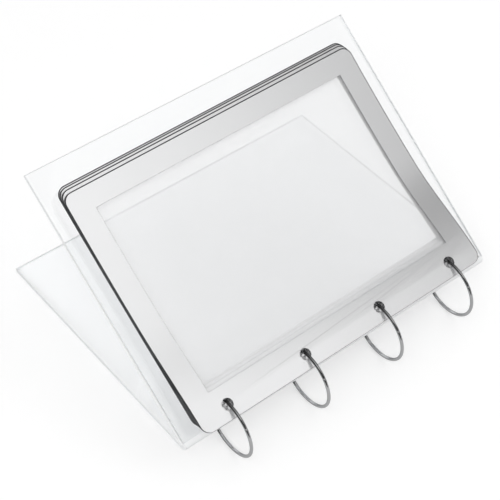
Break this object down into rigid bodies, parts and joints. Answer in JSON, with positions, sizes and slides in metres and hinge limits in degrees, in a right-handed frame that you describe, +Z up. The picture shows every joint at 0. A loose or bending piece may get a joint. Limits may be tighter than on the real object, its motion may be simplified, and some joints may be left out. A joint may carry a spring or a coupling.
{
  "type": "acrylic sign holder",
  "caption": "Clear acrylic V-shaped desk stand with silver-framed window leaves that flip over on hinged metal rings along its folded front edge.",
  "frame": {"origin": "middle of the overall box in X and Y, on the level surface it rests on", "axes": "+X along the fold, to the right as seen from the front; +Y from the fold to the back; +Z up"},
  "size_m": [0.194, 0.1692, 0.0966],
  "materials": {
    "clear_acrylic": "clear, polished",
    "silver_board": "glossy silver, black edges",
    "clear_film": "clear, glossy",
    "ring_wire": "bright nickel plate"
  },
  "bodies": {
    "holder": {"acrylic_stand": "clear_acrylic", "leaf_2_frame": "silver_board", "leaf_2_film": "clear_film", "leaf_3_frame": "silver_board", "leaf_3_film": "clear_film", "leaf_4_frame": "silver_board", "leaf_4_film": "clear_film", "ring_1_back_half": "ring_wire", "ring_1_rivet": "ring_wire", "ring_2_back_half": "ring_wire", "ring_2_rivet": "ring_wire", "ring_3_back_half": "ring_wire", "ring_3_rivet": "ring_wire", "ring_4_back_half": "ring_wire", "ring_4_rivet": "ring_wire"},
    "top_leaf": {"leaf_1_frame": "silver_board", "leaf_1_film": "clear_film"},
    "ring_1_gate": {"ring_1_front_half": "ring_wire"},
    "ring_2_gate": {"ring_2_front_half": "ring_wire"},
    "ring_3_gate": {"ring_3_front_half": "ring_wire"},
    "ring_4_gate": {"ring_4_front_half": "ring_wire"}
  },
  "joints": [
    {"name": "top_leaf_turn", "type": "hinge", "parent": "holder", "child": "top_leaf", "pos_m": [0, -0.06683, 0.01775], "axis": [1, 0, 0], "range_deg": [0, 148]},
    {"name": "ring_1_open", "type": "hinge", "parent": "holder", "child": "ring_1_gate", "pos_m": [-0.0711, -0.05473, 0.00599], "axis": [1, 0, 0], "range_deg": [0, 60]},
    {"name": "ring_2_open", "type": "hinge", "parent": "holder", "child": "ring_2_gate", "pos_m": [-0.0237, -0.05473, 0.00599], "axis": [1, 0, 0], "range_deg": [0, 60]},
    {"name": "ring_3_open", "type": "hinge", "parent": "holder", "child": "ring_3_gate", "pos_m": [0.0237, -0.05473, 0.00599], "axis": [1, 0, 0], "range_deg": [0, 60]},
    {"name": "ring_4_open", "type": "hinge", "parent": "holder", "child": "ring_4_gate", "pos_m": [0.0711, -0.05473, 0.00599], "axis": [1, 0, 0], "range_deg": [0, 60]}
  ]
}
